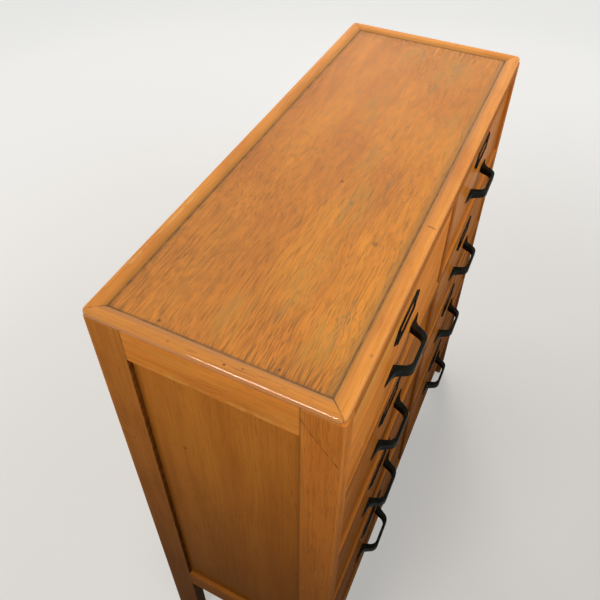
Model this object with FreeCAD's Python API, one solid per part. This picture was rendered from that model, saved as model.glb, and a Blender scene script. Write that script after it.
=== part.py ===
import FreeCAD, Part
import math
import os

# Chest of drawers: panelled ends, framed front, mitred top and eight dovetailed drawers.
# Millimetres, +Z up, floor at z = 0, drawers face -Y, origin under the middle of the whole box.

V = FreeCAD.Vector

# Overall sizes
TOP_WIDTH = 833.0
TOP_DEPTH = 330.0
TOP_THICK = 6.0
LEG_CLEARANCE = 174.0
ROWS = 4
ROW_PITCH = 190.0
PULL_REACH = 27.0

# Top edging
EDGING_WIDTH = 22.5
EDGING_RISE = 5.0
EDGING_TOP_ROUND = 5.0
EDGING_CORNER_ROUND = 9.0
END_OVERHANG = 2.0
TONGUE_LENGTH = 5.0
TONGUE_THICK = 2.5

# End frames
STILE_THICK = 22.0
STILE_WIDTH = 51.0
STILE_ROUND = 1.6
FOOT_CHAMFER = 2.0
END_TOP_RAIL = 55.0
END_LOW_RAIL = 48.0
END_PANEL_THICK = 6.0
END_PANEL_RECESS = 7.0
GROOVE_DEPTH = 8.0
TENON_LENGTH = 30.0
TENON_SHOULDER = 16.0

# Front frame
FRAME_PROUD = 1.0
RAIL_THICK = 22.0
RAIL_DEPTH = 40.0
TOP_RAIL_THICK = 15.0
MUNTIN_WIDTH = 18.0
MUNTIN_DEPTH = 60.0
STUB_LENGTH = 8.0
MUNTIN_STUB = 6.0
STUB_THICK = 12.0
STUB_SHOULDER = 8.0
DOVETAIL_LENGTH = 14.0
DOVETAIL_FLARE = 3.0
RAIL_ROUND = 1.2

# Back and inside
BACK_INSET = 1.0
BACK_PANEL_THICK = 5.0
BACK_REBATE = 10.0
BACK_RAIL_THICK = 20.0
BACK_RAIL_HEIGHT = 45.0
BACK_MUNTIN_DEPTH = 40.0
PARTITION_THICK = 6.0
RUNNER_WIDTH = 20.0
STOP_SIZE = V(25.0, 12.0, 5.0)
STOP_INSET = 60.0
STOP_GAP = 0.4

# Drawers, each shut by its own stops to its own depth behind the frame, rows from the top
SHUT_RECESS = {"left": (2.0, 5.0, 4.5, 3.0), "right": (5.0, 3.0, 3.0, 3.0)}
SIDE_GAP = 1.2
TOP_GAP = 1.5
BOTTOM_GAP = 1.0
RUNNER_GAP = 0.5
FRONT_THICK = 20.0
FRONT_ROUND = 2.0
DRAWER_LENGTH = 296.0
BOARD_THICK = 10.0
SIDE_DROP = 6.0
BOTTOM_THICK = 5.0
BOTTOM_RAISE = 8.0
BOTTOM_TONGUE = 5.0
TAIL_LENGTH = 14.0
TAIL_COUNT = 4
BACK_TAIL_COUNT = 3
TAIL_SHARE = 0.56
TAIL_SLOPE = 1.0 / 7.0

# Iron pulls, each a bowed strap with pointed tails
PULL_LENGTH = 137.0
PULL_DROP = 110.0
PULL_HEIGHT = 13.0
PULL_BAR_THICK = 5.0
PULL_FOOT_OUTER = 44.5
PULL_FOOT_INNER = 34.5
PULL_LEAN = 9.0
PULL_ARM_TAPER = 3.0
PULL_OUTER_ROUND = 16.0
PULL_INNER_ROUND = 13.0
PULL_TAIL_ROUND = 12.0
PULL_TAIL_ROOT = 5.5
PULL_TAIL_TIP = 1.4
PULL_TIP_HALF = 0.7
PULL_CHAMFER = 1.0

# Card frames, each a raised bezel with a pointed ear at both ends
CARD_LENGTH = 101.0
CARD_HEIGHT = 33.0
CARD_BODY = 70.0
CARD_WINDOW = V(58.0, 0.0, 18.0)
CARD_EAR_TIP = 4.0
CARD_EAR_THICK = 1.0
CARD_THICK = 1.8
CARD_SLOT = 0.8
CARD_SLOT_MARGIN = 3.0
CARD_BEVEL = 0.6
CARD_DROP = 45.0

# Places worked out from the sizes above
CARCASE_TOP = LEG_CLEARANCE + ROWS * ROW_PITCH + TOP_RAIL_THICK
PANEL_LEVEL = CARCASE_TOP + TOP_THICK
HEIGHT = PANEL_LEVEL + EDGING_RISE
EDGING_THICK = HEIGHT - CARCASE_TOP
EDGING_LOW_ROUND = EDGING_THICK - EDGING_TOP_ROUND
EDGING_CROWN = EDGING_WIDTH - EDGING_TOP_ROUND
HALF_TOP = TOP_WIDTH / 2
END_OUT = HALF_TOP - END_OVERHANG
END_IN = END_OUT - STILE_THICK
LEAST_RECESS = min(SHUT_RECESS["left"] + SHUT_RECESS["right"])
TOP_FRONT = (PULL_REACH + FRAME_PROUD - LEAST_RECESS - TOP_DEPTH) / 2
BACK_Y = TOP_FRONT + TOP_DEPTH
TOP_MIDDLE = (TOP_FRONT + BACK_Y) / 2
FRAME_Y = TOP_FRONT - FRAME_PROUD
FRAME_BACK = BACK_Y - BACK_INSET
BACK_PANEL_Y = FRAME_BACK - BACK_PANEL_THICK
BACK_RAIL_Y = BACK_PANEL_Y - BACK_RAIL_THICK
RAIL_BACK = FRAME_Y + RAIL_DEPTH
HALF_MUNTIN = MUNTIN_WIDTH / 2
OPENING_HEIGHT = ROW_PITCH - RAIL_THICK
TOP_OPENING = CARCASE_TOP - TOP_RAIL_THICK
COLUMN_X = (END_IN + HALF_MUNTIN) / 2
GROOVE_OUT = END_OUT - END_PANEL_RECESS
GROOVE_IN = GROOVE_OUT - END_PANEL_THICK
TOP_END_RAIL_Z = CARCASE_TOP - END_TOP_RAIL
LOW_END_RAIL_Z = LEG_CLEARANCE + END_LOW_RAIL
FRONT_WIDTH = END_IN - HALF_MUNTIN - 2 * SIDE_GAP
FRONT_HEIGHT = OPENING_HEIGHT - TOP_GAP - BOTTOM_GAP


def box(x0, x1, y0, y1, z0, z1):
    return Part.makeBox(x1 - x0, y1 - y0, z1 - z0, V(x0, y0, z0))


def prism(points, direction):
    """Extrude the closed outline through the points."""
    return Part.Face(Part.makePolygon(points + points[:1])).extrude(direction)


def mirrored(shape):
    """The same piece at the other end of the chest."""
    return shape.mirror(V(0, 0, 0), V(1, 0, 0))


def pair(shape):
    return [shape, mirrored(shape)]


def near(a, b):
    return abs(a - b) < 1e-6


def edges_where(shape, test):
    """Edges with both ends passing the test."""
    return [edge for edge in shape.Edges if all(test(vertex.Point) for vertex in edge.Vertexes)]


def corner_waste(x, y, side_x, side_y, radius, height):
    """What is planed off an upright's corner to round it; the sides point out of the wood."""
    block = Part.makeBox(radius, radius, height)
    block.translate(V(min(x, x - side_x * radius), min(y, y - side_y * radius), 0))
    return block.cut(Part.makeCylinder(radius, height, V(x - side_x * radius, y - side_y * radius, 0)))


def rail_top(row):
    """Height of the rail that carries a drawer, counting rows from the top."""
    return TOP_OPENING - OPENING_HEIGHT - row * ROW_PITCH


def face_y(column, row):
    """Where a shut drawer's face stands."""
    return FRAME_Y + SHUT_RECESS[column][row]


# End frames, built for the +X end and mirrored
def end_rail_tenon(inner_y, direction, low, high):
    """Tenon of an end rail, which is also the shape of its mortise."""
    reach = sorted((inner_y, inner_y + direction * TENON_LENGTH))
    return box(GROOVE_IN, GROOVE_OUT, reach[0], reach[1], low, high)


def end_rail_tenons(inner_y, direction):
    top_low = TOP_END_RAIL_Z + GROOVE_DEPTH
    low_high = LOW_END_RAIL_Z - GROOVE_DEPTH
    top_tenon = end_rail_tenon(inner_y, direction, top_low, CARCASE_TOP - TENON_SHOULDER)
    low_tenon = end_rail_tenon(inner_y, direction, LEG_CLEARANCE + TENON_SHOULDER, low_high)
    return top_tenon, low_tenon


def stile(corner_y, inner_y):
    """Upright from floor to top, grooved for the panel and mortised for the end rails."""
    y0, y1 = sorted((corner_y, inner_y))
    direction = 1 if corner_y > inner_y else -1
    post = box(END_IN, END_OUT, y0, y1, 0, CARCASE_TOP)
    post = post.makeChamfer(FOOT_CHAMFER, edges_where(post, lambda p: near(p.z, 0)))
    post = post.cut(corner_waste(END_OUT, corner_y, 1, direction, STILE_ROUND, CARCASE_TOP))
    groove_y = sorted((inner_y, inner_y + direction * GROOVE_DEPTH))
    groove = box(GROOVE_IN, GROOVE_OUT, groove_y[0], groove_y[1],
                 LOW_END_RAIL_Z - GROOVE_DEPTH, TOP_END_RAIL_Z + GROOVE_DEPTH)
    return post.cut([groove, *end_rail_tenons(inner_y, direction)])


def rail_stub(x, direction, length, y0, y1, z0, z1):
    """Stub tenon of a cross rail, centred on the rail's section."""
    reach = sorted((x, x + direction * length))
    middle = (z0 + z1) / 2
    return box(reach[0], reach[1], y0 + STUB_SHOULDER, y1 - STUB_SHOULDER,
               middle - STUB_THICK / 2, middle + STUB_THICK / 2)


def front_rail_levels():
    """Bottom height of each rail across the front, the top rail left out."""
    return [rail_top(row) - RAIL_THICK for row in range(ROWS)]


def top_rail_dovetail():
    """Dovetail at the end of the thin top rail, let into the top of the front stile."""
    y0 = FRAME_Y + STUB_SHOULDER
    y1 = RAIL_BACK - STUB_SHOULDER
    end = END_IN + DOVETAIL_LENGTH
    outline = [V(END_IN, y0, TOP_OPENING), V(end, y0 - DOVETAIL_FLARE, TOP_OPENING),
               V(end, y1 + DOVETAIL_FLARE, TOP_OPENING), V(END_IN, y1, TOP_OPENING)]
    return prism(outline, V(0, 0, TOP_RAIL_THICK))


def front_stile():
    post = stile(FRAME_Y, FRAME_Y + STILE_WIDTH)
    sockets = [rail_stub(END_IN, 1, STUB_LENGTH, FRAME_Y, RAIL_BACK, z, z + RAIL_THICK)
               for z in front_rail_levels()]
    return post.cut([top_rail_dovetail(), *sockets])


def back_rail_levels():
    return [LEG_CLEARANCE, CARCASE_TOP - BACK_RAIL_HEIGHT]


def back_rail_stub(z):
    inset = STUB_SHOULDER / 2
    return box(END_IN, END_IN + STUB_LENGTH, BACK_RAIL_Y + inset, BACK_PANEL_Y - inset,
               z + STUB_SHOULDER, z + BACK_RAIL_HEIGHT - STUB_SHOULDER)


def back_stile():
    post = stile(FRAME_BACK, FRAME_BACK - STILE_WIDTH)
    rebate = box(END_IN, END_IN + BACK_REBATE, BACK_PANEL_Y, FRAME_BACK, LEG_CLEARANCE, CARCASE_TOP)
    return post.cut([rebate, *(back_rail_stub(z) for z in back_rail_levels())])


def end_rail(z0, z1, groove_z, tenon_index):
    """Rail between the stiles of an end, with a tenon at each end and a groove for the panel."""
    front_y = FRAME_Y + STILE_WIDTH
    back_y = FRAME_BACK - STILE_WIDTH
    rail = box(END_IN, END_OUT, front_y, back_y, z0, z1)
    rail = rail.cut(box(GROOVE_IN, GROOVE_OUT, front_y, back_y, groove_z, groove_z + GROOVE_DEPTH))
    tenons = [end_rail_tenons(front_y, -1)[tenon_index], end_rail_tenons(back_y, 1)[tenon_index]]
    return rail.fuse(tenons).removeSplitter()


def end_panel():
    return box(GROOVE_IN, GROOVE_OUT, FRAME_Y + STILE_WIDTH - GROOVE_DEPTH,
               FRAME_BACK - STILE_WIDTH + GROOVE_DEPTH,
               LOW_END_RAIL_Z - GROOVE_DEPTH, TOP_END_RAIL_Z + GROOVE_DEPTH)


# Front frame
def front_top_rail():
    rail = box(-END_IN, END_IN, FRAME_Y, RAIL_BACK, TOP_OPENING, CARCASE_TOP)
    rail = rail.fuse(pair(top_rail_dovetail())).removeSplitter()
    return rail.cut(muntin_tenons()[1])


def rounded_rail(x0, x1, z0):
    """Front rail with its two front arrises eased."""
    rail = box(x0, x1, FRAME_Y, RAIL_BACK, z0, z0 + RAIL_THICK)
    front_edges = edges_where(rail, lambda p: near(p.y, FRAME_Y))
    return rail.makeFillet(RAIL_ROUND, [edge for edge in front_edges if near(edge.Length, x1 - x0)])


def front_bottom_rail():
    rail = rounded_rail(-END_IN, END_IN, LEG_CLEARANCE)
    stub = rail_stub(END_IN, 1, STUB_LENGTH, FRAME_Y, RAIL_BACK, LEG_CLEARANCE, LEG_CLEARANCE + RAIL_THICK)
    return rail.fuse(pair(stub)).removeSplitter().cut(muntin_tenons()[0])


def drawer_rail(z0):
    """Rail between two drawers of the +X column, tenoned into the muntin and the stile."""
    outer = rail_stub(END_IN, 1, STUB_LENGTH, FRAME_Y, RAIL_BACK, z0, z0 + RAIL_THICK)
    inner = rail_stub(HALF_MUNTIN, -1, MUNTIN_STUB, FRAME_Y, RAIL_BACK, z0, z0 + RAIL_THICK)
    return rounded_rail(HALF_MUNTIN, END_IN, z0).fuse([outer, inner]).removeSplitter()


def muntin_tenons():
    """Tenons of the front upright, into the bottom rail and the thin top rail."""
    x = HALF_MUNTIN - MUNTIN_STUB / 2
    y0 = FRAME_Y + STUB_SHOULDER
    y1 = RAIL_BACK - STUB_SHOULDER
    foot = LEG_CLEARANCE + RAIL_THICK
    low = box(-x, x, y0, y1, foot - STUB_LENGTH, foot)
    high = box(-x, x, y0, y1, TOP_OPENING, TOP_OPENING + TOP_RAIL_THICK / 2)
    return low, high


def front_muntin():
    foot = LEG_CLEARANCE + RAIL_THICK
    post = box(-HALF_MUNTIN, HALF_MUNTIN, FRAME_Y, FRAME_Y + MUNTIN_DEPTH, foot, TOP_OPENING)
    post = post.fuse(muntin_tenons()).removeSplitter()
    sockets = []
    for z in front_rail_levels()[:-1]:
        sockets += pair(rail_stub(HALF_MUNTIN, -1, MUNTIN_STUB, FRAME_Y, RAIL_BACK, z, z + RAIL_THICK))
    return post.cut([centre_partition(), *sockets])


# Back and inside
def back_rail(z0):
    rail = box(-END_IN, END_IN, BACK_RAIL_Y, BACK_PANEL_Y, z0, z0 + BACK_RAIL_HEIGHT)
    return rail.fuse(pair(back_rail_stub(z0))).removeSplitter()


def back_panel():
    half = END_IN + BACK_REBATE
    return box(-half, half, BACK_PANEL_Y, FRAME_BACK, LEG_CLEARANCE, CARCASE_TOP)


def back_muntin():
    low, high = back_rail_levels()
    post = box(-HALF_MUNTIN, HALF_MUNTIN, BACK_PANEL_Y - BACK_MUNTIN_DEPTH, BACK_PANEL_Y,
               low + BACK_RAIL_HEIGHT, high)
    return post.cut(centre_partition())


def centre_partition():
    """Thin panel between the two columns, grooved into both muntins."""
    half = PARTITION_THICK / 2
    return box(-half, half, FRAME_Y + MUNTIN_DEPTH - GROOVE_DEPTH,
               BACK_PANEL_Y - BACK_MUNTIN_DEPTH + GROOVE_DEPTH,
               LEG_CLEARANCE + BACK_RAIL_HEIGHT, CARCASE_TOP - BACK_RAIL_HEIGHT)


def drawer_runners():
    """A runner under each side of each drawer, level with the rail in front of it."""
    runners = []
    for row in range(ROWS):
        top = rail_top(row)
        for x0 in (HALF_MUNTIN, END_IN - RUNNER_WIDTH):
            runners += pair(box(x0, x0 + RUNNER_WIDTH, RAIL_BACK, BACK_RAIL_Y, top - RAIL_THICK, top))
    return Part.makeCompound(runners)


def drawer_stops():
    """Two small blocks on each rail, which a drawer front meets from behind when it is shut."""
    stops = []
    for row in range(ROWS):
        place = V(0, FRONT_THICK + STOP_GAP, rail_top(row))
        for x in (HALF_MUNTIN + STOP_INSET, END_IN - STOP_INSET - STOP_SIZE.x):
            stop = Part.makeBox(*STOP_SIZE, place + V(x, 0, 0))
            stops.append(stop.translated(V(0, face_y("right", row), 0)))
            stops.append(mirrored(stop).translated(V(0, face_y("left", row), 0)))
    return Part.makeCompound(stops)


# Top
def tongue_panel(grow, low, high):
    """Slab as large as the top inside its edging, grown on all four sides."""
    inset = EDGING_WIDTH - grow
    return box(inset - HALF_TOP, HALF_TOP - inset, TOP_FRONT + inset, BACK_Y - inset, low, high)


def top_tongue():
    middle = CARCASE_TOP + TOP_THICK / 2
    return tongue_panel(TONGUE_LENGTH, middle - TONGUE_THICK / 2, middle + TONGUE_THICK / 2)


def top_panel():
    return tongue_panel(0, CARCASE_TOP, PANEL_LEVEL).fuse(top_tongue()).removeSplitter()


def edging_section(joint, outward):
    """Section of the edging: it swells from its joint with the panel to a crown and rolls over to the nose."""
    slope_radius = (EDGING_CROWN ** 2 + EDGING_RISE ** 2) / (2 * EDGING_RISE)
    slope_middle = EDGING_THICK - slope_radius + math.sqrt(slope_radius ** 2 - EDGING_CROWN ** 2 / 4)
    heel = EDGING_WIDTH - EDGING_LOW_ROUND
    top_diagonal = EDGING_TOP_ROUND * math.sqrt(0.5)
    low_diagonal = EDGING_LOW_ROUND * math.sqrt(0.5)

    def at(out, up):
        return joint + outward * out + V(0, 0, up)

    crown = at(EDGING_CROWN, EDGING_THICK)
    nose = at(EDGING_WIDTH, EDGING_LOW_ROUND)
    arcs = [Part.Arc(at(0, TOP_THICK), at(EDGING_CROWN / 2, slope_middle), crown),
            Part.Arc(crown, at(EDGING_CROWN + top_diagonal, EDGING_LOW_ROUND + top_diagonal), nose),
            Part.Arc(nose, at(heel + low_diagonal, EDGING_LOW_ROUND - low_diagonal), at(heel, 0))]
    edges = [arc.toShape() for arc in arcs]
    edges += [Part.makeLine(at(heel, 0), joint), Part.makeLine(joint, at(0, TOP_THICK))]
    return Part.Face(Part.Wire(edges))


def edging_corner(x, y):
    """Square block at a corner of the top, and the edging's nose turning inside it."""
    axis = V(x - math.copysign(EDGING_CORNER_ROUND, x), y - math.copysign(EDGING_CORNER_ROUND, y - TOP_MIDDLE), 0)
    block = box(min(x, axis.x), max(x, axis.x), min(y, axis.y), max(y, axis.y), CARCASE_TOP, HEIGHT)
    outward = V(math.copysign(1, x), 0, 0)
    joint = V(x, axis.y, CARCASE_TOP) - outward * EDGING_WIDTH
    nose = edging_section(joint, outward).common(block)
    return block, nose.revolve(axis, V(0, 0, 1), 360).common(block)


def edging(corner_a, corner_b, inner_b, inner_a):
    """Mitred strip along one side of the top, grooved for the panel's tongue."""
    outline = [V(x, y, CARCASE_TOP) for x, y in (corner_a, corner_b, inner_b, inner_a)]
    run = outline[1] - outline[0]
    outward = V(run.y, -run.x, 0).normalize()
    mitred = prism(outline, V(0, 0, EDGING_THICK))
    strip = edging_section(outline[0] - outward * EDGING_WIDTH, outward).extrude(run).common(mitred)
    for corner in (corner_a, corner_b):
        block, turned = edging_corner(*corner)
        strip = strip.cut(block).fuse(turned.common(mitred))
    return strip.removeSplitter().cut(top_tongue())


def top_edgings():
    outer = [(-HALF_TOP, TOP_FRONT), (HALF_TOP, TOP_FRONT), (HALF_TOP, BACK_Y), (-HALF_TOP, BACK_Y)]
    w = EDGING_WIDTH
    inner = [(w - HALF_TOP, TOP_FRONT + w), (HALF_TOP - w, TOP_FRONT + w),
             (HALF_TOP - w, BACK_Y - w), (w - HALF_TOP, BACK_Y - w)]
    strips = {}
    for side, name in enumerate(("front", "right", "back", "left")):
        after = (side + 1) % len(outer)
        strips["top_edging_" + name] = edging(outer[side], outer[after], inner[after], inner[side])
    return strips


# One drawer, built with its front's bottom middle edge at the origin and its face at y = 0
def dovetails(y_shoulder, y_end, z0, z1, count):
    """Tails at the +X side's end of a board, in the side's thickness."""
    x0 = FRONT_WIDTH / 2 - BOARD_THICK
    pitch = (z1 - z0) / count
    half = pitch * TAIL_SHARE / 2
    flared = half + abs(y_end - y_shoulder) * TAIL_SLOPE
    tails = []
    for index in range(count):
        z = z0 + (index + 0.5) * pitch
        outline = [V(x0, y_shoulder, z - half), V(x0, y_end, z - flared),
                   V(x0, y_end, z + flared), V(x0, y_shoulder, z + half)]
        tails.append(prism(outline, V(BOARD_THICK, 0, 0)))
    return tails


SIDE_LOW = RUNNER_GAP - BOTTOM_GAP
SIDE_HIGH = FRONT_HEIGHT - SIDE_DROP
FLOOR_LOW = SIDE_LOW + BOTTOM_RAISE
FLOOR_HIGH = FLOOR_LOW + BOTTOM_THICK
SIDE_IN = FRONT_WIDTH / 2 - BOARD_THICK
BACK_BOARD_Y = DRAWER_LENGTH - BOARD_THICK
LAP_Y = FRONT_THICK - TAIL_LENGTH


def front_tails():
    return dovetails(FRONT_THICK, LAP_Y, 0, SIDE_HIGH, TAIL_COUNT)


def back_tails():
    return dovetails(BACK_BOARD_Y, DRAWER_LENGTH, FLOOR_HIGH, SIDE_HIGH, BACK_TAIL_COUNT)


def drawer_floor():
    return box(-SIDE_IN - BOTTOM_TONGUE, SIDE_IN + BOTTOM_TONGUE, FRONT_THICK - BOTTOM_TONGUE, DRAWER_LENGTH,
               FLOOR_LOW, FLOOR_HIGH)


def drawer_front():
    """Front with rounded edges, lapped dovetail sockets and a groove for the bottom."""
    half = FRONT_WIDTH / 2
    board = box(-half, half, 0, FRONT_THICK, 0, FRONT_HEIGHT)
    board = board.makeFillet(FRONT_ROUND, edges_where(board, lambda p: near(p.y, 0)))
    sockets = [socket for tail in front_tails() for socket in pair(tail)]
    return board.cut([drawer_floor(), *sockets])


def drawer_side():
    """+X side: lapped tails at the front, through tails at the back, groove for the bottom."""
    x1 = FRONT_WIDTH / 2
    body = box(SIDE_IN, x1, FRONT_THICK, BACK_BOARD_Y, SIDE_LOW, SIDE_HIGH)
    heel = box(SIDE_IN, x1, BACK_BOARD_Y, DRAWER_LENGTH, SIDE_LOW, FLOOR_HIGH)
    side = body.fuse([heel, *front_tails(), *back_tails()]).removeSplitter()
    return side.cut(drawer_floor())


def drawer_back():
    half = FRONT_WIDTH / 2
    board = box(-half, half, BACK_BOARD_Y, DRAWER_LENGTH, FLOOR_HIGH, SIDE_HIGH)
    return board.cut([socket for tail in back_tails() for socket in pair(tail)])


def drawer_box():
    return Part.makeCompound([*pair(drawer_side()), drawer_back(), drawer_floor()])


def pull():
    """Bowed strap: a plan outline extruded to the strap's height, its tails cut to points."""
    tip = PULL_LENGTH / 2
    bar_in = PULL_REACH - PULL_BAR_THICK
    bend_out = PULL_FOOT_OUTER - PULL_LEAN - PULL_ARM_TAPER
    bend_in = PULL_FOOT_INNER - PULL_LEAN
    half_plan = [(bend_out, PULL_REACH), (PULL_FOOT_OUTER, PULL_TAIL_ROOT), (tip, PULL_TAIL_TIP), (tip, 0),
                 (PULL_FOOT_INNER, 0), (bend_in, bar_in)]
    plan = half_plan + [(-x, reach) for x, reach in reversed(half_plan)]
    half_height = PULL_HEIGHT / 2
    strap = prism([V(x, -reach, -half_height) for x, reach in plan], V(0, 0, PULL_HEIGHT))
    for x, reach, radius in ((bend_out, PULL_REACH, PULL_OUTER_ROUND), (bend_in, bar_in, PULL_INNER_ROUND),
                             (PULL_FOOT_OUTER, PULL_TAIL_ROOT, PULL_TAIL_ROUND)):
        for side in (1, -1):
            corner = edges_where(strap, lambda p: near(p.x, side * x) and near(p.y, -reach))
            strap = strap.makeFillet(radius, corner)
    arrises = edges_where(strap, lambda p: near(abs(p.z), half_height) and not near(abs(p.x), tip)
                          and not near(p.y, 0))
    bow = strap.makeChamfer(PULL_CHAMFER, arrises)
    return bow.common(pull_taper())


def pull_taper():
    """Front outline of a pull, full height between the feet and hollowed to a point along each tail."""
    tip = PULL_LENGTH / 2
    half = PULL_HEIGHT / 2
    middle = (PULL_FOOT_OUTER + tip) / 2
    waist = (half + PULL_TIP_HALF) / 2 - PULL_TIP_HALF

    def curve(side, level):
        return Part.Arc(V(side * PULL_FOOT_OUTER, 0, level * half), V(side * middle, 0, level * waist),
                        V(side * tip, 0, level * PULL_TIP_HALF)).toShape()

    def straight(x0, z0, x1, z1):
        return Part.makeLine(V(x0, 0, z0), V(x1, 0, z1))

    edges = [straight(-PULL_FOOT_OUTER, half, PULL_FOOT_OUTER, half), curve(1, 1),
             straight(tip, PULL_TIP_HALF, tip, -PULL_TIP_HALF), curve(1, -1),
             straight(PULL_FOOT_OUTER, -half, -PULL_FOOT_OUTER, -half), curve(-1, -1),
             straight(-tip, -PULL_TIP_HALF, -tip, PULL_TIP_HALF), curve(-1, 1)]
    outline = Part.Face(Part.Wire(Part.__sortEdges__(edges)))
    return outline.extrude(V(0, -PULL_REACH, 0))


def card_frame():
    """Raised bezel with a window, a card slot open at the top and a pointed ear at each end."""
    half_body = CARD_BODY / 2
    half_high = CARD_HEIGHT / 2
    half_long = CARD_LENGTH / 2
    bezel = box(-half_body, half_body, -CARD_THICK, 0, -half_high, half_high)
    bezel = bezel.makeChamfer(CARD_BEVEL, edges_where(bezel, lambda p: near(p.y, -CARD_THICK)))
    ear = prism([V(half_body, 0, half_high), V(half_long, 0, CARD_EAR_TIP / 2),
                 V(half_long, 0, -CARD_EAR_TIP / 2), V(half_body, 0, -half_high)], V(0, -CARD_EAR_THICK, 0))
    frame = bezel.fuse(pair(ear)).removeSplitter()
    window = box(-CARD_WINDOW.x / 2, CARD_WINDOW.x / 2, -CARD_THICK, 0, -CARD_WINDOW.z / 2, CARD_WINDOW.z / 2)
    margin = CARD_SLOT_MARGIN
    slot = box(margin - half_body, half_body - margin, -CARD_SLOT, 0, margin - half_high, half_high)
    return frame.cut([window, slot])


def carcase():
    """Every fixed piece, by name."""
    pieces = {}
    ends = {"front_stile": front_stile(), "back_stile": back_stile(), "end_panel": end_panel(),
            "top_rail": end_rail(TOP_END_RAIL_Z, CARCASE_TOP, TOP_END_RAIL_Z, 0),
            "bottom_rail": end_rail(LEG_CLEARANCE, LOW_END_RAIL_Z, LOW_END_RAIL_Z - GROOVE_DEPTH, 1)}
    for name, shape in ends.items():
        pieces["right_" + name] = shape
        pieces["left_" + name] = mirrored(shape)
    pieces["top_panel"] = top_panel()
    pieces.update(top_edgings())
    pieces["front_top_rail"] = front_top_rail()
    pieces["front_bottom_rail"] = front_bottom_rail()
    for name, level in zip(("upper", "middle", "lower"), front_rail_levels()):
        pieces["drawer_rails_" + name] = Part.makeCompound(pair(drawer_rail(level)))
    pieces["front_muntin"] = front_muntin()
    pieces["back_muntin"] = back_muntin()
    pieces["centre_partition"] = centre_partition()
    for name, level in zip(("back_bottom_rail", "back_top_rail"), back_rail_levels()):
        pieces[name] = back_rail(level)
    pieces["back_panel"] = back_panel()
    pieces["drawer_runners"] = drawer_runners()
    pieces["drawer_stops"] = drawer_stops()
    return pieces


def drawers():
    """Eight equal drawers, named by column and by row from the top."""
    parts = {"front": drawer_front(), "box": drawer_box(),
             "pull": pull().translated(V(0, 0, FRONT_HEIGHT - PULL_DROP)),
             "card_frame": card_frame().translated(V(0, 0, FRONT_HEIGHT - CARD_DROP))}
    pieces = {}
    for column, x in (("left", -COLUMN_X), ("right", COLUMN_X)):
        for row in range(ROWS):
            place = V(x, face_y(column, row), rail_top(row) + BOTTOM_GAP)
            for name, shape in parts.items():
                pieces["drawer_{}_{}_{}".format(column, row + 1, name)] = shape.translated(place)
    return pieces


os.makedirs("parts", exist_ok=True)
for node, solid in {**carcase(), **drawers()}.items():
    solid.exportStep("parts/" + node + ".step")
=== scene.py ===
from collections import namedtuple

import bmesh
import bpy
from mathutils import Matrix, Vector


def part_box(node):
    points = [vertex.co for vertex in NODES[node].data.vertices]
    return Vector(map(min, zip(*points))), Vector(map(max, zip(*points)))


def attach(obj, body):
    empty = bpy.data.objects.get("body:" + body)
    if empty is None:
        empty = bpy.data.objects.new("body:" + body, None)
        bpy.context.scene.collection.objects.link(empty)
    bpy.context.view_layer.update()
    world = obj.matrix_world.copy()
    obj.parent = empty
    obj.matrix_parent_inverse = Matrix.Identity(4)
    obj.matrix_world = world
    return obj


# Looks of the chest of drawers: varnished oak, bare drawer wood and black iron, in metres.

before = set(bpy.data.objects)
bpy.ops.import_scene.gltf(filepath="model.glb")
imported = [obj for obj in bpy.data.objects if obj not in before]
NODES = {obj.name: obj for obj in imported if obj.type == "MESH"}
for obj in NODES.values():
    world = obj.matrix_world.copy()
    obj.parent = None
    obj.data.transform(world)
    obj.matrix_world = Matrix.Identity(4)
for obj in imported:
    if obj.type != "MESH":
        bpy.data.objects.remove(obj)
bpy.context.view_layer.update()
X, Y, Z = AXES = (0, 1, 2)
MM = 0.001
QUARTER_TURN = 1.5707963

# Colour sockets of a Mix node
MIX_A, MIX_B, MIX_RESULT = 6, 7, 2
# Share of a mark's width or reach in which it is at full strength
LINE_CORE, PLANE_CORE, PATCH_CORE = 0.4, 0.2, 0.25


def srgb(red, green, blue):
    """A colour as it looks on screen, 0 to 255, in the linear values that Blender takes."""
    def linear(level):
        level /= 255
        return level / 12.92 if level <= 0.04045 else ((level + 0.055) / 1.055) ** 2.4
    return (linear(red), linear(green), linear(blue), 1.0)


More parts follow.
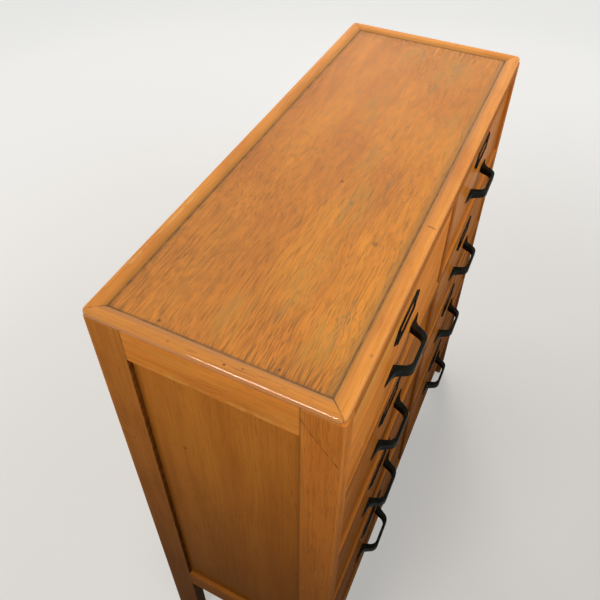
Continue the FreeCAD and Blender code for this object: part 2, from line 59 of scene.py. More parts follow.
class Graph:
    """A material's node tree, with one short call for each kind of node."""

    def __init__(self, name):
        self.material = bpy.data.materials.new(name)
        self.material.use_nodes = True
        self.tree = self.material.node_tree
        self.shader = self.tree.nodes["Principled BSDF"]
        self.point = self.tree.nodes.new("ShaderNodeTexCoord").outputs["Object"]

    def put(self, socket, value):
        if isinstance(value, bpy.types.NodeSocket):
            self.tree.links.new(value, socket)
        else:
            socket.default_value = value

    def drive(self, name, value):
        """Set or link one of the shader's own sockets."""
        self.put(self.shader.inputs[name], value)

    def node(self, kind, values, **settings):
        made = self.tree.nodes.new("ShaderNode" + kind)
        for name, setting in settings.items():
            setattr(made, name, setting)
        for place, value in values.items():
            self.put(made.inputs[place], value)
        return made

    def math(self, operation, a, b=0.0, clamp=False):
        return self.node("Math", {0: a, 1: b}, operation=operation, use_clamp=clamp).outputs[0]

    def times(self, a, b):
        return self.math("MULTIPLY", a, b)

    def vector(self, operation, a, b):
        return self.node("VectorMath", {0: a, 1: b}, operation=operation).outputs["Vector"]

    def measure(self, operation, a, b=(0, 0, 0)):
        return self.node("VectorMath", {0: a, 1: b}, operation=operation).outputs["Value"]

    def scaled(self, vector, factor):
        made = self.node("VectorMath", {0: vector, "Scale": factor}, operation="SCALE")
        return made.outputs["Vector"]

    def split(self, vector):
        return self.node("SeparateXYZ", {0: vector}).outputs

    def noise(self, vector, scale, detail=2.0, roughness=0.5):
        """Noise about 0.5, with a scale for each axis in cycles per metre."""
        stretched = self.vector("MULTIPLY", vector, scale)
        return self.node("TexNoise", {"Vector": stretched, "Scale": 1.0, "Detail": detail,
                                      "Roughness": roughness}).outputs["Fac"]

    def fade(self, value, full, none):
        """1 where the value is at full, 0 where it is at none, smooth between them."""
        return self.node("MapRange", {"Value": value, "From Min": none, "From Max": full},
                         interpolation_type="SMOOTHSTEP").outputs["Result"]

    def level(self, factor, low, high):
        """A number that runs from low to high with the factor."""
        made = self.node("MapRange", {"Value": factor, "To Min": low, "To Max": high})
        return made.outputs["Result"]

    def mix(self, factor, a, b):
        made = self.node("Mix", {"Factor": factor, MIX_A: a, MIX_B: b}, data_type="RGBA")
        return made.outputs[MIX_RESULT]

    def stain(self, colour, tint, depth, mask):
        """The colour with a tint laid over it where the mask is."""
        return self.mix(self.times(mask, depth), colour, tint)

    def bump(self, height, strength, depth):
        made = self.node("Bump", {"Height": height, "Strength": strength, "Distance": depth})
        self.drive("Normal", made.outputs["Normal"])

    # Masks, each 1 on the mark and 0 away from it
    def line(self, start, end, width, flat=False):
        """Straight mark between two points; a flat one is the same at every height."""
        span = Vector(end) - Vector(start)
        away = self.vector("SUBTRACT", self.point, start)
        if flat:
            away = self.vector("MULTIPLY", away, (1, 1, 0))
        share = self.math("MULTIPLY", self.measure("DOT_PRODUCT", away, span),
                          1 / span.length_squared, clamp=True)
        off_line = self.vector("SUBTRACT", away, self.scaled(span, share))
        return self.fade(self.measure("LENGTH", off_line), width * LINE_CORE, width)

    def plane(self, axis, place, width):
        """Band to both sides of a plane across an axis."""
        gap = self.math("ABSOLUTE", self.math("SUBTRACT", self.split(self.point)[axis], place))
        return self.fade(gap, width * PLANE_CORE, width)

    def patch(self, centre, reach):
        """Soft-edged cloud with its own reach along each axis."""
        away = self.vector("DIVIDE", self.vector("SUBTRACT", self.point, centre), reach)
        return self.fade(self.measure("LENGTH", away), PATCH_CORE, 1.0)

    def ring(self, centre, radius, width):
        from_middle = self.measure("DISTANCE", self.point, centre)
        gap = self.math("ABSOLUTE", self.math("SUBTRACT", from_middle, radius))
        return self.fade(gap, 0.0, width)

    def slope(self, axis, full, none):
        """Slow change along an axis."""
        return self.fade(self.split(self.point)[axis], full, none)

    def arris(self, low, high, width):
        """Strip along the edges of a board that fills a box."""
        gap = self.split(self.vector("MINIMUM", self.vector("SUBTRACT", self.point, low),
                                     self.vector("SUBTRACT", high, self.point)))
        small = self.math("MINIMUM", gap[X], gap[Y])
        large = self.math("MAXIMUM", gap[X], gap[Y])
        second = self.math("MAXIMUM", small, self.math("MINIMUM", large, gap[Z]))
        return self.fade(second, 0.0, width)


def across(grain, along, cross):
    """A value for each of the three axes: one along the grain, another across it."""
    return tuple(along if axis == grain else cross for axis in AXES)


# Wood. A mark's shape is one of Graph's masks, place holds what that mask takes, and its texture
# breaks it up in blots, along the streaks, along the pores, or not at all.
Mark = namedtuple("Mark", "shape place depth stain texture")
PATCHY, STREAKY, DASHED, SOLID = range(4)

# Noise that all boards share, in cycles per metre along and across the grain
DRIFT_SCALE = (2.2, 3.6)
BAND_ALONG = 1.5
CLOUD_SCALE = (7.0, 11.0)
BLOT_SCALE = (70.0, 70.0, 70.0)
# Noise levels at which each is full and gone; those of pores and dashes lie below the look's own
BAND_RANGE = (0.68, 0.34)
CLOUD_RANGE = (0.72, 0.38)
STREAK_RANGE = (0.64, 0.42)
BLOT_RANGE = (0.62, 0.36)
PORE_FADE = 0.10
DASH_FULL, DASH_NONE = 0.06, 0.18
LEAST_RUB = 0.2
PORE_ROUGHNESS = 0.15
STREAK_RELIEF = 0.5
PORE_DROP = 0.12 * MM
# For each axis, the step from one seed to the next and the span it stays within
SEED_STEPS = ((0.713, 3.1), (1.237, 2.7), (0.517, 3.7))


def wood(name, grain, seed, look, marks=(), worn_box=None):
    """Board with bands, streaks and open pores along its grain, then wear and marks."""
    g = Graph(name)
    place = g.vector("ADD", g.point, tuple(seed * step % span for step, span in SEED_STEPS))
    drift = g.math("SUBTRACT", g.noise(place, across(grain, *DRIFT_SCALE), 3.0), 0.5)
    place = g.vector("ADD", place, g.scaled(across(grain, 0.0, look["sway"]), drift))
    bands = g.noise(place, across(grain, BAND_ALONG, look["band_across"]), 3.0, 0.55)
    cloud = g.noise(place, across(grain, *CLOUD_SCALE))
    streaks = g.noise(place, across(grain, look["streak_along"], look["streak_across"]), 3.0, 0.6)
    streaks = g.fade(streaks, *STREAK_RANGE)
    specks = g.noise(place, across(grain, look["pore_along"], look["pore_across"]), 1.0)
    specks = g.math("ADD", specks, g.times(g.math("SUBTRACT", cloud, 0.5), look["clump"]))
    pore_full = look["pore_full"]
    pores = g.fade(specks, pore_full, pore_full - PORE_FADE)
    textures = {PATCHY: g.fade(g.noise(g.point, BLOT_SCALE, 3.0), *BLOT_RANGE), STREAKY: streaks,
                DASHED: g.fade(specks, pore_full - DASH_FULL, pore_full - DASH_NONE)}
    colour = g.mix(g.fade(bands, *BAND_RANGE), look["light"], look["dark"])
    colour = g.stain(colour, look["deep"], look["blotch"], g.fade(cloud, *CLOUD_RANGE))
    colour = g.stain(colour, look["pore"], look["streak_depth"], streaks)
    colour = g.stain(colour, look["pore"], look["pore_depth"], pores)
    if worn_box:
        low, high = (tuple(corner) for corner in worn_box)
        rub = g.times(g.arris(low, high, look["worn_width"]), g.level(cloud, LEAST_RUB, 1.0))
        colour = g.stain(colour, look["worn"], look["worn_depth"], rub)
    for mark in marks:
        mask = mark.shape(g, *mark.place)
        if mark.texture != SOLID:
            mask = g.times(mask, textures[mark.texture])
        colour = g.stain(colour, mark.stain, mark.depth, mask)
    g.drive("Base Color", colour)
    rough = g.level(cloud, look["rough"] - look["rough_spread"], look["rough"] + look["rough_spread"])
    g.drive("Roughness", g.math("ADD", rough, g.times(pores, PORE_ROUGHNESS)))
    g.drive("Specular IOR Level", look["gloss"])
    g.drive("Coat Weight", look["coat"])
    g.drive("Coat Roughness", look["coat_rough"])
    g.bump(g.math("ADD", g.times(streaks, STREAK_RELIEF), pores), look["relief"], -PORE_DROP)
    return g.material


# The dark grime and smut colours also serve as painted shade, and the gilt one as a painted highlight
# and sheen
GRIME_AND_SHADE = srgb(66, 38, 12)
SMUT_AND_SHADE = srgb(96, 68, 26)
SOOT = srgb(40, 27, 12)
OLIVE = srgb(176, 130, 46)
MOSS = srgb(112, 88, 40)
GILT_AND_HIGHLIGHT = srgb(224, 158, 74)
SLATE = srgb(112, 98, 62)
CHAFED = srgb(226, 186, 128)

# Colours, then noise scales in cycles per metre, then how deep each layer goes, then the surface
OAK = {"light": srgb(220, 138, 57), "dark": srgb(202, 121, 46), "deep": srgb(182, 104, 37),
       "pore": srgb(118, 71, 25), "worn": srgb(232, 158, 76),
       "band_across": 30.0, "streak_along": 5.0, "streak_across": 300.0,
       "pore_along": 36.0, "pore_across": 760.0, "pore_full": 0.70,
       "sway": 0.03, "clump": 0.24, "blotch": 0.5, "streak_depth": 0.2, "pore_depth": 0.32,
       "worn_width": 4.0 * MM, "worn_depth": 0.6,
       "rough": 0.45, "rough_spread": 0.08, "gloss": 0.0, "coat": 0.05, "coat_rough": 0.15,
       "relief": 0.35}
TOP = {**OAK, "light": srgb(216, 136, 30), "dark": srgb(199, 120, 24), "deep": srgb(178, 99, 20),
       "pore": srgb(92, 62, 24),
       "band_across": 20.0, "streak_along": 7.0, "streak_across": 520.0,
       "pore_along": 32.0, "pore_across": 920.0, "pore_full": 0.63,
       "sway": 0.055, "clump": 0.14, "blotch": 0.45, "streak_depth": 0.26, "pore_depth": 0.52,
       "rough": 0.26, "rough_spread": 0.078, "gloss": 0.55, "coat": 0.0, "relief": 0.5}
EDGING = {**OAK, "light": srgb(221, 145, 58), "dark": srgb(205, 130, 48), "pore_depth": 0.25,
          "worn_width": 6.0 * MM, "rough": 0.4, "gloss": 0.42, "coat": 0.0}
SHINY_EDGING = {**EDGING, "light": srgb(209, 133, 42), "dark": srgb(192, 117, 32),
                "gloss": 0.0, "coat": 1.0, "coat_rough": 0.05}
PLY = {**OAK, "light": srgb(220, 137, 50), "dark": srgb(202, 120, 40), "deep": srgb(182, 103, 32),
       "band_across": 16.0, "blotch": 0.2, "streak_depth": 0.16, "pore_depth": 0.25}
BARE = {**OAK, "light": srgb(214, 184, 138), "dark": srgb(194, 158, 110), "deep": srgb(176, 138, 92),
        "pore": srgb(138, 104, 66), "worn": srgb(224, 198, 156),
        "rough": 0.62, "gloss": 0.3, "coat": 0.0}


def toned(look, share):
    """The same wood, lighter or darker all over."""
    return {**look, **{part: tuple(level * share for level in look[part][:3]) + (1.0,)
                       for part in ("light", "dark", "deep")}}


def dress(node, material):
    """Give a CAD node its material."""
    mesh = NODES[node].data
    mesh.materials.clear()
    mesh.materials.append(material)


# How far a patch or a dent goes through the face that it lies on
THROUGH = 30.0 * MM
TOP_THROUGH = 20.0 * MM
# Strength of a joint line's smudge and of its core
HALO_SHARE, CORE_SHARE = 0.75, 0.8


def joint(axis, place, core, halo, depth):
    """Dirty joint line along a plane: a thin core in a wider smudge, in millimetres."""
    return [Mark(Graph.plane, (axis, place, halo * MM), depth * HALO_SHARE, SMUT_AND_SHADE, SOLID),
            Mark(Graph.plane, (axis, place, core * MM), depth * CORE_SHARE, GRIME_AND_SHADE, PATCHY)]


def dents(through, places):
    """Dark dents in a face across an axis: centre, radius in millimetres and depth of each."""
    return [Mark(Graph.patch, (centre, across(through, THROUGH, radius * MM)), depth, SOOT, SOLID)
            for centre, radius, depth in places]


# Top: worn veneer inside mitred edging
TOP_LOW, TOP_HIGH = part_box("top_panel")
TONGUE = 5.0 * MM
LEVEL = TOP_HIGH.z
LEFT, RIGHT = TOP_LOW.x + TONGUE, TOP_HIGH.x - TONGUE
FRONT_EDGE, BACK_EDGE = TOP_LOW.y + TONGUE, TOP_HIGH.y - TONGUE
# Patches: centre along X and Y in metres, reach along X and Y in millimetres
WORN_PATCHES = ((-0.250, -0.035, 90, 30), (-0.100, -0.040, 80, 34), (0.010, -0.016, 60, 24),
                (0.150, 0.030, 90, 26), (0.310, -0.050, 100, 60), (0.340, 0.030, 70, 34),
                (-0.345, 0.020, 60, 26), (-0.330, -0.090, 70, 36), (0.120, -0.095, 110, 30))
GREY_PATCHES = ((-0.309, -0.030, 36, 7), (-0.114, -0.027, 44, 8), (0.012, -0.013, 26, 5),
                (0.150, 0.036, 30, 6), (0.324, -0.060, 60, 14), (-0.036, -0.063, 28, 7),
                (0.240, -0.038, 34, 6), (0.345, 0.012, 40, 10), (-0.300, -0.100, 60, 9))
CORNER_PATCH = (LEFT, -0.085, 40, 85)
DULL_PATCH = (-0.300, 0.110, 190, 90)
# Ring left by a cup: centre, radius and width
CUP_RING = ((-0.006, 0.109, LEVEL), 33.0 * MM, 4.0 * MM)
TOP_DENTS = (((-0.061, 0.0015, LEVEL), 4.0, 0.7), ((-0.162, -0.087, LEVEL), 7.0, 0.45),
             ((-0.386, 0.089, LEVEL), 3.4, 0.65), ((-0.386, -0.064, LEVEL), 3.0, 0.65))


def top_patches(places, depth, stain, texture):
    return [Mark(Graph.patch, ((x, y, LEVEL), (along * MM, over * MM, TOP_THROUGH)),
                 depth, stain, texture) for x, y, along, over in places]


def dress_top():
    marks = top_patches(WORN_PATCHES, 0.75, OLIVE, STREAKY)
    marks += top_patches(GREY_PATCHES, 0.5, SLATE, DASHED)
    marks += top_patches((CORNER_PATCH,), 0.45, SMUT_AND_SHADE, DASHED)
    marks += [Mark(Graph.plane, (X, LEFT, 12.0 * MM), 0.3, GRIME_AND_SHADE, STREAKY),
              Mark(Graph.plane, (X, RIGHT, 30.0 * MM), 0.3, GRIME_AND_SHADE, DASHED),
              Mark(Graph.plane, (Y, FRONT_EDGE, 17.0 * MM), 0.42, MOSS, SOLID),
              Mark(Graph.plane, (Y, BACK_EDGE, 10.0 * MM), 0.25, SMUT_AND_SHADE, PATCHY)]
    marks += top_patches((DULL_PATCH,), 0.2, SMUT_AND_SHADE, PATCHY)
    marks.append(Mark(Graph.ring, CUP_RING, 0.2, GRIME_AND_SHADE, PATCHY))
    for axis, place in ((X, LEFT), (X, RIGHT), (Y, FRONT_EDGE), (Y, BACK_EDGE)):
        marks += joint(axis, place, 1.7, 3.8, 0.85)
    marks += dents(Z, TOP_DENTS)
    dress("top_panel", wood("top_veneer", X, 1.0, TOP, marks))


# Edging: side, grain, axis across it and place of its joint with the panel
STRIPS = (("front", X, Y, FRONT_EDGE), ("right", Y, X, RIGHT),
          ("back", X, Y, BACK_EDGE), ("left", Y, X, LEFT))
# Lines on the edging: both ends along X and Y, width in millimetres, depth, stain and texture
NICKS = (((-0.1065, -0.148), (-0.1035, -0.138), 1.3, 0.8, SOOT, SOLID),
         ((-0.330, 0.1695), (-0.180, 0.1690), 2.4, 0.35, CHAFED, PATCHY),
         ((-0.409, 0.050), (-0.405, -0.110), 4.0, 0.4, GRIME_AND_SHADE, DASHED))
EDGING_DENTS = (((-0.4085, -0.010, LEVEL), 2.6, 0.8), ((-0.4045, -0.030, LEVEL), 2.0, 0.6),
                ((-0.409, 0.061, LEVEL), 1.8, 0.6), ((-0.330, -0.146, LEVEL), 3.0, 0.4))


def flat_line(start, end, width, depth, stain, texture):
    """Line on the top, the same at every height, between two places along X and Y."""
    return Mark(Graph.line, ((*start, LEVEL), (*end, LEVEL), width * MM, True), depth, stain, texture)


def dress_edging():
    low = Vector((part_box("top_edging_left")[0].x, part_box("top_edging_front")[0].y, TOP_LOW.z))
    back_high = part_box("top_edging_back")[1]
    high = Vector((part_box("top_edging_right")[1].x, back_high.y, back_high.z))
    shared = [flat_line((x_in, y_in), (x_out, y_out), 1.2, 0.7, GRIME_AND_SHADE, PATCHY)
              for x_in, x_out in ((LEFT, low.x), (RIGHT, high.x))
              for y_in, y_out in ((FRONT_EDGE, low.y), (BACK_EDGE, high.y))]
    shared += [flat_line(*nick) for nick in NICKS] + dents(Z, EDGING_DENTS)
    for index, (side, grain, axis, place) in enumerate(STRIPS):
        marks = [Mark(Graph.plane, (axis, place, 10.0 * MM), 0.28, MOSS, SOLID)]
        marks += joint(axis, place, 1.0, 2.6, 0.6) + shared
        look = SHINY_EDGING if side == "left" else EDGING
        material = wood("edging_" + side, grain, 5.0 + index, look, marks, (low, high))
        dress("top_edging_" + side, material)


# Ends and front frame
END_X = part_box("left_front_stile")[0].x
# Scratches on the left end: both ends along Y and Z, width in millimetres and depth
SCRATCHES = {"left_front_stile": (((-0.114, 0.9084), (-0.1476, 0.8626), 1.3, 0.75),
                                  ((-0.098, 0.936), (-0.114, 0.9084), 1.0, 0.5)),
             "left_back_stile": (((0.177, 0.700), (0.155, 0.694), 2.4, 0.7),)}
# Lighter patches on the end top rails, rubbed wear with a painted highlight along the lower edge: centre
# along Y and Z, reach in millimetres, depth, texture
RAIL_WEAR_AND_HIGHLIGHT = ((0.060, 0.898, 60, 7, 0.7, PATCHY), (-0.050, 0.897, 70, 8, 0.8, PATCHY),
             (0.030, 0.930, 90, 16, 0.4, STREAKY), (-0.070, 0.915, 50, 14, 0.4, PATCHY))
# Dents in the left panel: place along Y and Z, radius in millimetres and depth
PANEL_DENTS = (((0.0725, 0.719), 4.0, 0.6), ((0.052, 0.706), 2.0, 0.3))
# Front stiles lighter and back stiles darker: painted light and shade, as the light falls along the
# ends. The top rails lighter and the panels darker: their own tone together with painted light and
# shade.
STILE_LIGHT_AND_SHADE = {"front_stile": 1.12, "back_stile": 0.8}
RAIL_TONE_AND_LIGHT = 1.2
PANEL_TONE_AND_SHADE = 0.85
# Painted shade, darker towards the floor: full near the floor and gone near the top
PAINTED_SHADE_BELOW = [Mark(Graph.slope, (Z, 0.10, 0.90), 0.52, GRIME_AND_SHADE, SOLID)]


def dress_ends():
    for index, side in enumerate(("left", "right")):
        outside = END_X if side == "left" else -END_X
        joints = {"front_stile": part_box(side + "_front_stile")[1].y,
                  "back_stile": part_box(side + "_back_stile")[0].y}
        for piece, tone_and_light in STILE_LIGHT_AND_SHADE.items():
            name = side + "_" + piece
            # Darker towards the floor as painted shade, with dirty joints and scratches
            marks = PAINTED_SHADE_BELOW + joint(Y, joints[piece], 0.8, 2.6, 0.5)
            marks += [Mark(Graph.line, ((END_X, *start), (END_X, *end), width * MM), depth, SOOT, PATCHY)
                      for start, end, width, depth in SCRATCHES.get(name, ())]
            seed = 11.0 + 3 * index + len(piece)
            dress(name, wood(name + "_oak", Z, seed, toned(OAK, tone_and_light), marks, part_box(name)))
        for piece in ("top_rail", "bottom_rail"):
            name = side + "_" + piece
            # Darker towards the floor as painted shade
            marks = list(PAINTED_SHADE_BELOW)
            for place in joints.values():
                marks += joint(Y, place, 0.9, 2.4, 0.6)
            if piece == "top_rail":
                # Rubbed wear on the top rails, with a painted highlight along their lower edge
                marks += [Mark(Graph.patch, ((outside, y, z), (THROUGH, over * MM, rise * MM)),
                               depth, GILT_AND_HIGHLIGHT, texture)
                          for y, z, over, rise, depth, texture in RAIL_WEAR_AND_HIGHLIGHT]
            seed = 21.0 + index + len(piece)
            dress(name, wood(name + "_oak", Y, seed, toned(OAK, RAIL_TONE_AND_LIGHT), marks))
        name = side + "_end_panel"
        # Darker towards the floor as painted shade; the dark smudges along the joints with the stiles
        # are dirt, and painted shade in the corners of the recessed panel
        marks = PAINTED_SHADE_BELOW + joint(Y, joints["front_stile"], 1.0, 9.0, 0.45)
        marks += joint(Y, joints["back_stile"], 2.0, 12.0, 0.6)
        if side == "left":
            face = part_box(name)[0].x
            marks += dents(X, [((face, *place), radius, depth) for place, radius, depth in PANEL_DENTS])
        dress(name, wood(side + "_panel_ply", Z, 31.0 + index, toned(PLY, PANEL_TONE_AND_SHADE), marks))


# Grain of the frame's pieces
OAK_FRAME = {"front_top_rail": X, "front_bottom_rail": X, "drawer_rails_upper": X,
             "drawer_rails_middle": X, "drawer_rails_lower": X, "front_muntin": Z,
             "back_muntin": Z, "back_bottom_rail": X, "back_top_rail": X}
BARE_FRAME = {"back_panel": Z, "centre_partition": Z, "drawer_runners": Y, "drawer_stops": X}


def dress_frame():
    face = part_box("front_muntin")[0].y
    # Darker towards the floor as painted shade, and the frame's front faces darker all over
    marks = PAINTED_SHADE_BELOW + [Mark(Graph.plane, (Y, face, 1.0 * MM), 0.35, GRIME_AND_SHADE, SOLID)]
    for index, (name, grain) in enumerate(OAK_FRAME.items()):
        dress(name, wood(name + "_oak", grain, 41.0 + index, OAK, marks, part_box(name)))
    for index, (name, grain) in enumerate(BARE_FRAME.items()):
        dress(name, wood(name + "_bare", grain, 55.0 + index, BARE))


# Drawers
IRON_COLOURS = (srgb(20, 23, 20), srgb(36, 40, 34))
IRON_DUST = srgb(58, 55, 44)
# Noise scales in cycles per metre, and the levels at which each is full and gone
MOTTLE_SCALE, MOTTLE_RANGE = (160.0, 160.0, 160.0), (0.75, 0.4)
DUST_SCALE, DUST_RANGE = (35.0, 35.0, 35.0), (0.75, 0.5)
DUST_DEPTH = 0.25
SMOOTHER, ROUGHER = 0.1, 0.14
IRON_COAT_ROUGH = 0.14
IRON_RELIEF, IRON_LUMPS = 0.05, 0.3 * MM


def iron(name, rough, coat):
    """Black-japanned iron, mottled and a little dusty."""
    g = Graph(name)
    mottle = g.noise(g.point, MOTTLE_SCALE, 4.0, 0.6)
    dust = g.fade(g.noise(g.point, DUST_SCALE, 3.0), *DUST_RANGE)
    colour = g.mix(g.fade(mottle, *MOTTLE_RANGE), *IRON_COLOURS)
    g.drive("Base Color", g.stain(colour, IRON_DUST, DUST_DEPTH, dust))
    g.drive("Roughness", g.level(mottle, rough - SMOOTHER, rough + ROUGHER))
    g.drive("Specular IOR Level", 0.0)
    g.drive("Coat Weight", coat)
    g.drive("Coat Roughness", IRON_COAT_ROUGH)
    g.bump(mottle, IRON_RELIEF, IRON_LUMPS)
    return g.material


PIN_RADIUS = 1.9 * MM
PIN_HEIGHT = 0.8 * MM
EAR_THICK = 1.0 * MM
PIN_INSET = 8.0 * MM


def pin_mesh():
    """Domed head of a small pin, standing out along -Y from its base at the origin."""
    mesh = bpy.data.meshes.new("pin_head")
    built = bmesh.new()
    bmesh.ops.create_uvsphere(built, u_segments=16, v_segments=10, radius=PIN_RADIUS)
    below = [vertex for vertex in built.verts if vertex.co.z < -1e-6]
    bmesh.ops.delete(built, geom=below, context="VERTS")
    rim = [edge for edge in built.edges if edge.is_boundary]
    bmesh.ops.contextual_create(built, geom=rim)
    flatten = Matrix.Diagonal((1.0, 1.0, PIN_HEIGHT / PIN_RADIUS, 1.0))
    built.transform(Matrix.Rotation(QUARTER_TURN, 4, "X") @ flatten)
    bmesh.ops.recalc_face_normals(built, faces=built.faces)
    for face in built.faces:
        # all but the base, which has the whole rim
        face.smooth = len(face.verts) < 6
    built.to_mesh(mesh)
    built.free()
    return mesh


def add_pins(drawer, head):
    """A pin in each ear of a drawer's card frame."""
    low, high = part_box(drawer + "_card_frame")
    for end, x in (("a", low.x + PIN_INSET), ("b", high.x - PIN_INSET)):
        pin = bpy.data.objects.new("{}_pin_{}".format(drawer, end), head)
        bpy.context.scene.collection.objects.link(pin)
        pin.location = (x, high.y - EAR_THICK, (low.z + high.z) / 2)
        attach(pin, drawer)


# Tone and varnish of the fronts, from the top row down; each tone is partly the front's own and partly
# painted light and shade, lighter or darker as the light falls on it
FRONTS = {"left": ((1.22, 0.05), (0.92, 0.05), (0.97, 0.05), (0.97, 0.05)),
          "right": ((0.9, 0.125), (1.06, 0.065), (1.3, 0.06), (1.26, 0.05))}
# Dark line under a pull's bow: places along X from its middle and below its top, in millimetres
BOW_LINE = ((-36, 0.5), (-12, 2.5), (12, 2.5), (36, 0.5))
# Painted light and shade on the top left front, a painted sheen high up and painted shade lower down:
# centre along X and Z, reach in millimetres, depth, stain, texture
FRONT_SHEEN_AND_SHADE = ((-0.32, 0.925, 150, 45, 0.8, GILT_AND_HIGHLIGHT, SOLID), (-0.25, 0.785, 180, 30, 0.22, SMUT_AND_SHADE, PATCHY))


def front_marks(drawer):
    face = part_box(drawer + "_front")[0].y
    pull_low, pull_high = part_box(drawer + "_pull")
    middle = (pull_low.x + pull_high.x) / 2
    bow = [(middle + x * MM, face, pull_high.z - drop * MM) for x, drop in BOW_LINE]
    # Darker towards the floor as painted shade, with a dark line under the pull's bow
    marks = PAINTED_SHADE_BELOW + [Mark(Graph.line, (start, end, 1.3 * MM), 0.75, GRIME_AND_SHADE, SOLID)
                         for start, end in zip(bow, bow[1:])]
    # Painted sheen and painted shade on the top left front
    if drawer == "drawer_left_1":
        marks += [Mark(Graph.patch, ((x, face, z), (over * MM, THROUGH, rise * MM)),
                       depth, stain, texture)
                  for x, z, over, rise, depth, stain, texture in FRONT_SHEEN_AND_SHADE]
    return marks


def dress_drawers():
    pull_iron = iron("pull_iron", 0.22, 0.22)
    frame_black = iron("card_frame_black", 0.42, 0.05)
    head = pin_mesh()
    head.materials.append(frame_black)
    for column, (side, rows) in enumerate(FRONTS.items()):
        for row, (tone_and_light, coat) in enumerate(rows, 1):
            name = "drawer_{}_{}".format(side, row)
            seed = 70.0 + 10 * column + row
            look = {**toned(OAK, tone_and_light), "coat": coat}
            front = wood(name + "_oak", X, seed, look, front_marks(name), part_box(name + "_front"))
            dress(name + "_front", front)
            dress(name + "_box", wood(name + "_bare", Y, seed + 30, BARE))
            dress(name + "_pull", pull_iron)
            dress(name + "_card_frame", frame_black)
            add_pins(name, head)


# Studio
FLOOR_LIT, FLOOR_SEEN = srgb(96, 88, 80), srgb(190, 188, 185)
FLOOR_GLOW = srgb(238, 238, 236)
# Strength of the floor's glow near the chest and far from it, and those distances
GLOW_NEAR, GLOW_FAR = 0.34, 0.86
NEAR, FAR = 0.6, 2.6
FLOOR_HALF = 9.0
FLOOR_DROP = 0.5 * MM
LAMP_COLOUR = (1.0, 0.97, 0.94)
# Lamps: name, place, target, size, power in watts, and whether gloss shows it
LAMPS = (("overhead", (0.6, 0.5, 1.9), (0.3, 0.2, 0.95), (1.2, 1.2), 8.0, False),
         ("left", (-1.5, 0.26, 1.7), (-0.3, 0.0, 0.75), (0.7, 0.12), 12.4, True),
         ("front", (0.14, -0.65, 1.3), (0.14, -0.12, 0.8), (2.4, 0.4), 8.0, False),
         ("right", (1.6, 0.5, 1.5), (0.3, 0.0, 0.6), (0.8, 0.8), 12.0, False),
         ("back", (0.0, 1.6, 1.4), (0.0, 0.1, 0.55), (1.0, 0.8), 11.0, False))
WORLD_COLOUR = (1.0, 0.99, 0.97, 1.0)
WORLD_LIGHT, WORLD_SEEN = 0.06, 0.8


def pale_to_eye(tree):
    """1 for rays that show the studio itself: straight to the camera, in gloss or through glass."""
    rays = tree.nodes.new("ShaderNodeLightPath").outputs
    joined = rays["Is Camera Ray"]
    for other in ("Is Glossy Ray", "Is Transmission Ray"):
        most = tree.nodes.new("ShaderNodeMath")
        most.operation = "MAXIMUM"
        tree.links.new(joined, most.inputs[0])
        tree.links.new(rays[other], most.inputs[1])
        joined = most.outputs[0]
    return joined


def build_stage():
    g = Graph("studio_floor")
    seen = pale_to_eye(g.tree)
    away = g.fade(g.measure("LENGTH", g.point), FAR, NEAR)
    g.drive("Base Color", g.mix(seen, FLOOR_LIT, FLOOR_SEEN))
    g.drive("Emission Color", FLOOR_GLOW)
    g.drive("Emission Strength", g.times(seen, g.level(away, GLOW_NEAR, GLOW_FAR)))
    g.drive("Roughness", 0.9)
    g.drive("Specular IOR Level", 0.1)
    corners = [(x * FLOOR_HALF, y * FLOOR_HALF, 0) for x, y in ((-1, -1), (1, -1), (1, 1), (-1, 1))]
    mesh = bpy.data.meshes.new("floor")
    mesh.from_pydata(corners, [], [(0, 1, 2, 3)])
    mesh.materials.append(g.material)
    floor = bpy.data.objects.new("floor", mesh)
    floor.location.z = -FLOOR_DROP
    bpy.context.scene.collection.objects.link(floor)


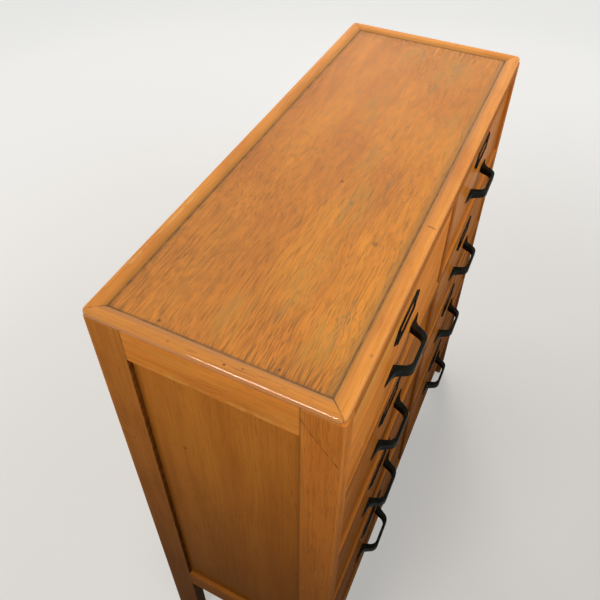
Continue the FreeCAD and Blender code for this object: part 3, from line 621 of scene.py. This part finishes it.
def add_lamp(name, place, target, size, power, in_gloss):
    """Soft lamp, aimed at its target."""
    light = bpy.data.lights.new(name, "AREA")
    light.shape = "ELLIPSE"
    light.size, light.size_y = size
    light.energy = power
    light.color = LAMP_COLOUR
    made = bpy.data.objects.new(name, light)
    made.location = place
    aim = Vector(target) - Vector(place)
    made.rotation_euler = aim.to_track_quat("-Z", "Y").to_euler()
    made.visible_camera = False
    made.visible_glossy = in_gloss
    bpy.context.scene.collection.objects.link(made)


def light_stage():
    for lamp in LAMPS:
        add_lamp(*lamp)
    world = bpy.data.worlds.new("studio")
    bpy.context.scene.world = world
    world.use_nodes = True
    tree = world.node_tree
    background = tree.nodes["Background"]
    background.inputs["Color"].default_value = WORLD_COLOUR
    strength = tree.nodes.new("ShaderNodeMapRange")
    strength.inputs["To Min"].default_value = WORLD_LIGHT
    strength.inputs["To Max"].default_value = WORLD_SEEN
    tree.links.new(pale_to_eye(tree), strength.inputs["Value"])
    tree.links.new(strength.outputs["Result"], background.inputs["Strength"])


# Camera, solved from the photograph: focal length and picture centre in its pixels
PHOTO_SIZE = 600
FOCAL_LENGTH = 647.530
CENTRE_COLUMN, CENTRE_ROW = 298.08, 228.0
SENSOR_WIDTH = 36.0
CAMERA_PLACE = (-0.741398, -0.256387, 1.528012)
CAMERA_RIGHT = (0.435304, -0.900281, 0.002088)
CAMERA_UP = (0.607239, 0.295322, 0.737594)
CAMERA_BACK = (-0.664659, -0.319810, 0.675241)


def place_camera():
    """The photograph's own viewpoint."""
    data = bpy.data.cameras.new("photo_view")
    data.sensor_width = SENSOR_WIDTH
    data.lens = FOCAL_LENGTH / PHOTO_SIZE * SENSOR_WIDTH
    data.shift_x = 0.5 - CENTRE_COLUMN / PHOTO_SIZE
    data.shift_y = CENTRE_ROW / PHOTO_SIZE - 0.5
    data.clip_start = 0.05
    camera = bpy.data.objects.new("photo_view", data)
    turn = Matrix((CAMERA_RIGHT, CAMERA_UP, CAMERA_BACK)).transposed().to_4x4()
    camera.matrix_world = Matrix.Translation(CAMERA_PLACE) @ turn
    bpy.context.scene.collection.objects.link(camera)
    bpy.context.scene.camera = camera


dress_top()
dress_edging()
dress_ends()
dress_frame()
dress_drawers()
build_stage()
light_stage()
place_camera()
bpy.context.scene.view_settings.view_transform = "Standard"
